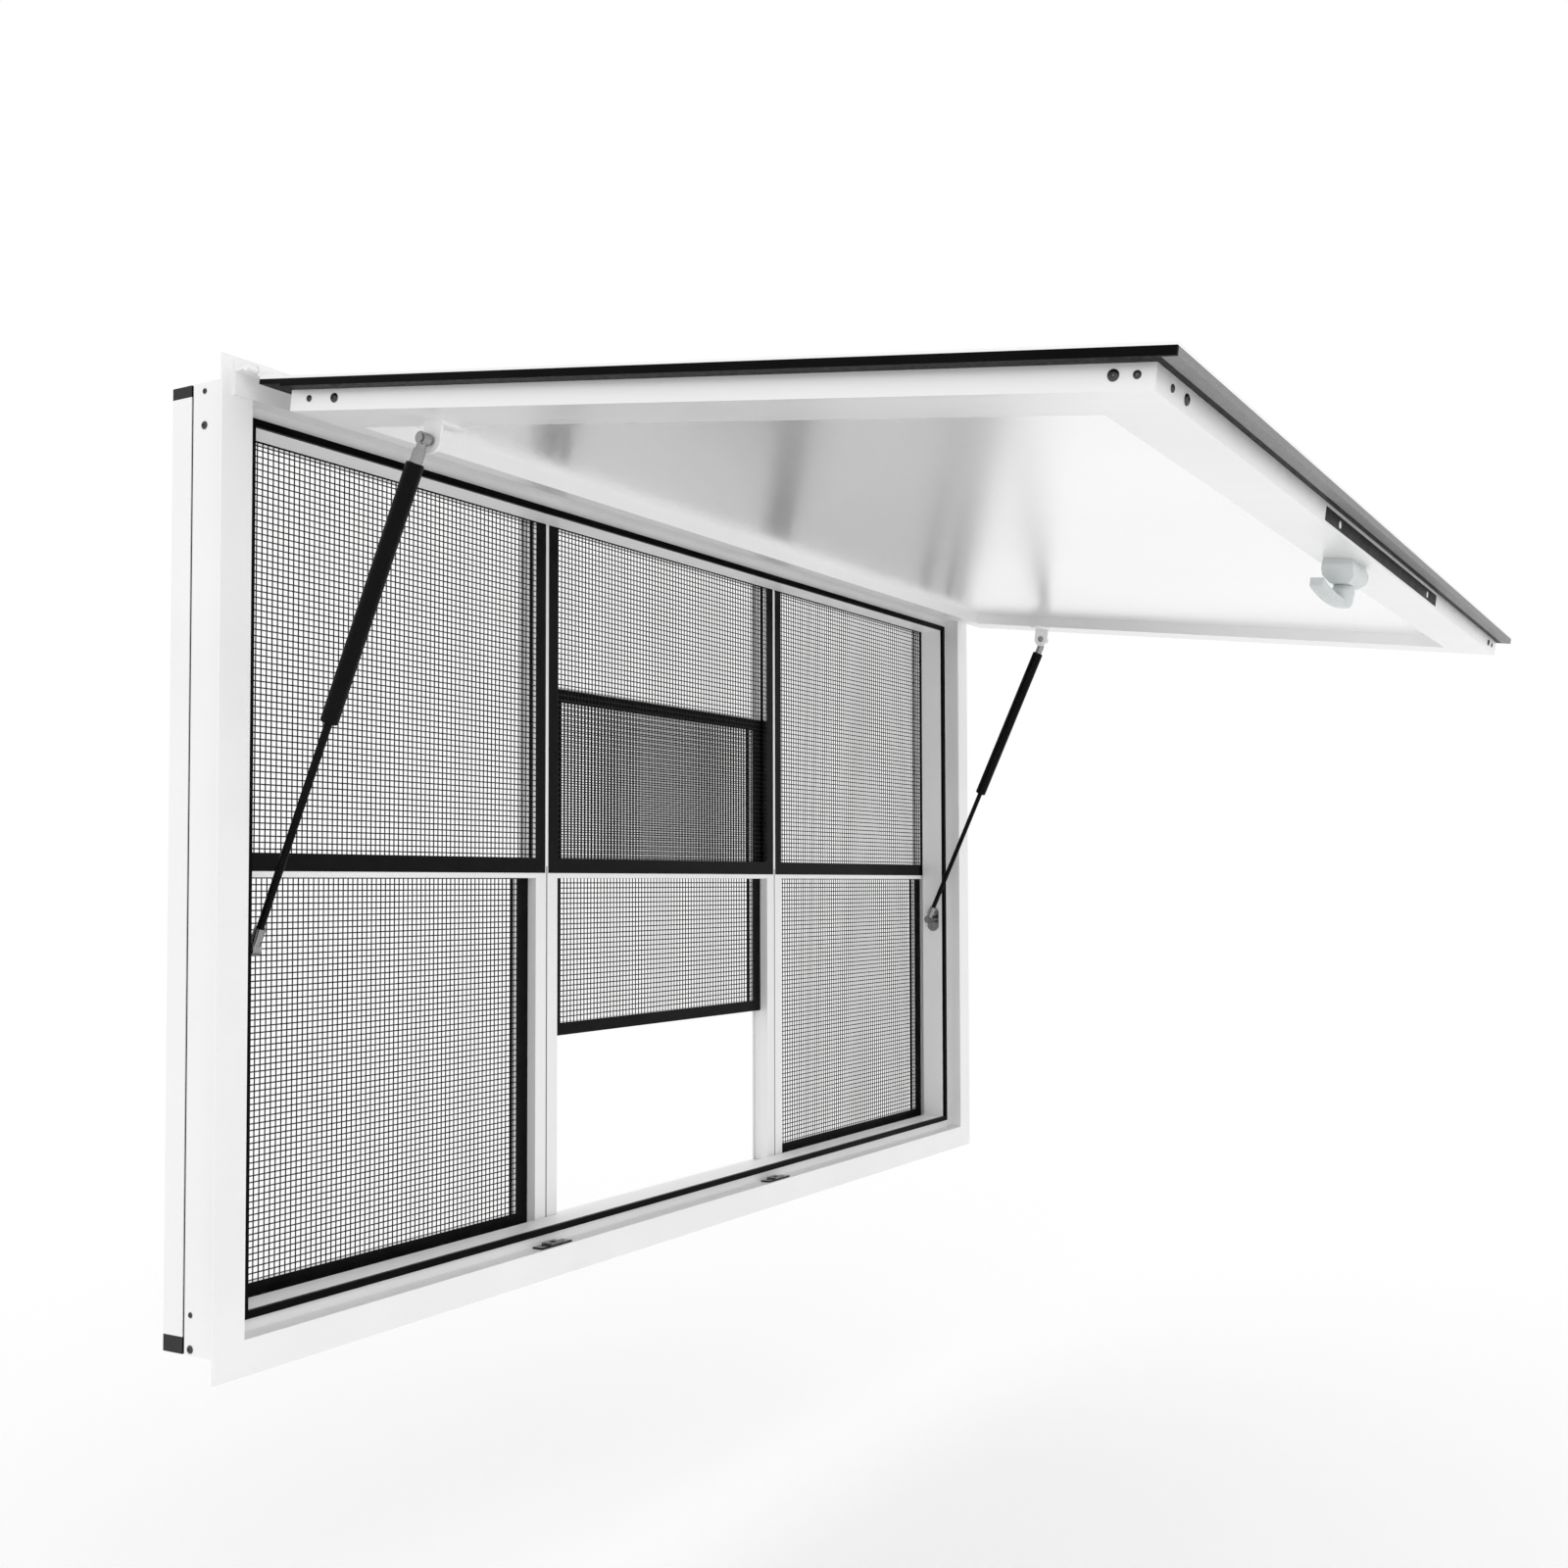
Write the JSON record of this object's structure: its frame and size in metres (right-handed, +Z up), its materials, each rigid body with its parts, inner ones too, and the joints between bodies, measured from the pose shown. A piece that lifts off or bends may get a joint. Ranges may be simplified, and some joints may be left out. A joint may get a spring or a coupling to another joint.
{
  "type": "concession window",
  "caption": "Serving window for a food stand: flanged frame, screened window units, and an awning door on gas struts",
  "frame": {"origin": "on the flange's back face, in the middle of its bottom edge where it laps over the wall", "axes": "+X to the right as seen from outside, -Y outside, +Z up"},
  "size_m": [1.626, 1.0827, 1.016],
  "materials": {
    "white": "white powder coat",
    "black": "black powder coat",
    "black_rod": "black, smooth",
    "rubber": "matte",
    "plastic": "moulded",
    "mesh": "woven mesh",
    "steel": "bright"
  },
  "bodies": {
    "frame": {"frame_left": "white", "frame_right": "white", "frame_head": "white", "frame_sill": "white", "stop_gasket": "rubber", "clamp_gasket": "rubber", "left_unit_jambs": "white", "left_unit_rails": "white", "middle_unit_jambs": "white", "middle_unit_rails": "white", "right_unit_jambs": "white", "right_unit_rails": "white", "corner_caps": "plastic", "left_upper_sash": "black", "middle_upper_sash": "black", "right_upper_sash": "black", "left_lower_sash": "black", "middle_lower_sash": "black", "right_lower_sash": "black", "upper_screens": "mesh", "lower_screens": "mesh", "hinge_base": "white", "left_foot_plate": "steel", "right_foot_plate": "steel", "keepers": "steel"},
    "awning": {"hinge_leaf": "white", "awning_skin": "white", "awning_seal": "rubber", "awning_left_rail": "white", "awning_right_rail": "white", "awning_front_rail": "white", "awning_rear_rail": "white", "awning_panel": "white", "left_awning_bracket": "white", "right_awning_bracket": "white", "lock_plate": "black", "handle_base": "white"},
    "lever": {"handle_lever": "white"},
    "left_cylinder": {"left_strut_tube": "black", "left_strut_head": "steel"},
    "left_piston": {"left_strut_rod": "black_rod", "left_strut_foot": "steel"},
    "right_cylinder": {"right_strut_tube": "black", "right_strut_head": "steel"},
    "right_piston": {"right_strut_rod": "black_rod", "right_strut_foot": "steel"}
  },
  "joints": [
    {"name": "awning_hinge", "type": "hinge", "parent": "frame", "child": "awning", "pos_m": [0, -0.0203, 0.9925], "axis": [1, 0, 0], "range_deg": [0, 82.7]},
    {"name": "lever_turn", "type": "hinge", "parent": "awning", "child": "lever", "pos_m": [-0.048, -0.92589, 0.82528], "axis": [0, 0.1271, -0.9919], "range_deg": [0, 90]},
    {"name": "left_strut_swing", "type": "hinge", "parent": "awning", "child": "left_cylinder", "pos_m": [-0.736, -0.1965, 0.91277], "axis": [-1, 0, 0], "range_deg": [0, 107.4]},
    {"name": "left_strut_slide", "type": "slide", "parent": "left_cylinder", "child": "left_piston", "axis": [0, -0.4283, 0.9036], "range_m": [0, 0.15859]},
    {"name": "right_strut_swing", "type": "hinge", "parent": "awning", "child": "right_cylinder", "pos_m": [0.736, -0.1965, 0.91277], "axis": [-1, 0, 0], "range_deg": [0, 107.4]},
    {"name": "right_strut_slide", "type": "slide", "parent": "right_cylinder", "child": "right_piston", "axis": [0, -0.4283, 0.9036], "range_m": [0, 0.15859]}
  ],
  "couplings": [
    {"joint": "left_strut_swing", "follows": "awning_hinge", "ratio": 1.2986},
    {"joint": "left_strut_slide", "follows": "awning_hinge", "m_per_rad": 0.10986},
    {"joint": "right_strut_swing", "follows": "awning_hinge", "ratio": 1.2986},
    {"joint": "right_strut_slide", "follows": "awning_hinge", "m_per_rad": 0.10986}
  ]
}
